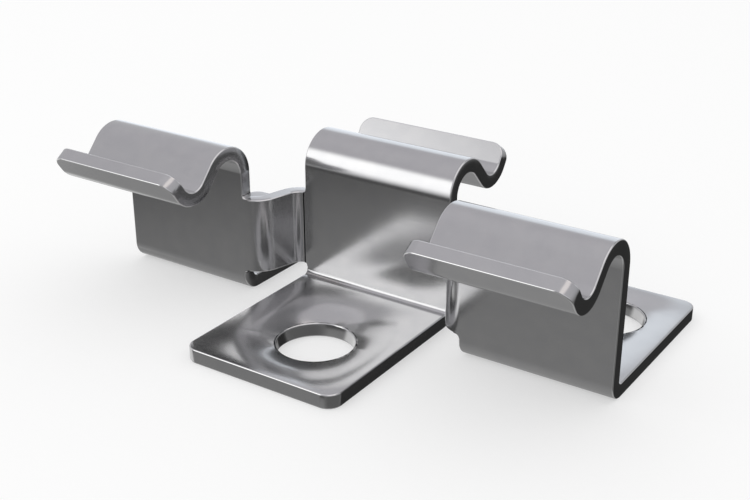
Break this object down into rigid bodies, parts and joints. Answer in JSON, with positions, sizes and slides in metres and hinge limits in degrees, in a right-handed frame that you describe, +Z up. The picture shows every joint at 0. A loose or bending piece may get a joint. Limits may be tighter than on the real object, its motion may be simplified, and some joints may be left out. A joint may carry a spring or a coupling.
{
  "type": "cable clip",
  "caption": "Folded stainless sheet clip: hooked tabs facing both ways stand on drilled feet, joined by narrow bent webs, and hold cable runs along a surface.",
  "frame": {"origin": "on the underside of the centre foot, below the middle of the clip's width and in line with the front faces of the side tabs' panels", "axes": "+X along the row of tabs, +Y towards the toes of the side feet, +Z up from the surface that the feet stand on"},
  "size_m": [0.0634, 0.0395, 0.0185],
  "materials": {
    "stainless_sheet": "bright rolled stainless sheet, softly reflective, clouded by forming round the screw holes, edges lightly broken"
  },
  "bodies": {
    "root": {"cable_clip": "stainless_sheet"}
  },
  "joints": []
}
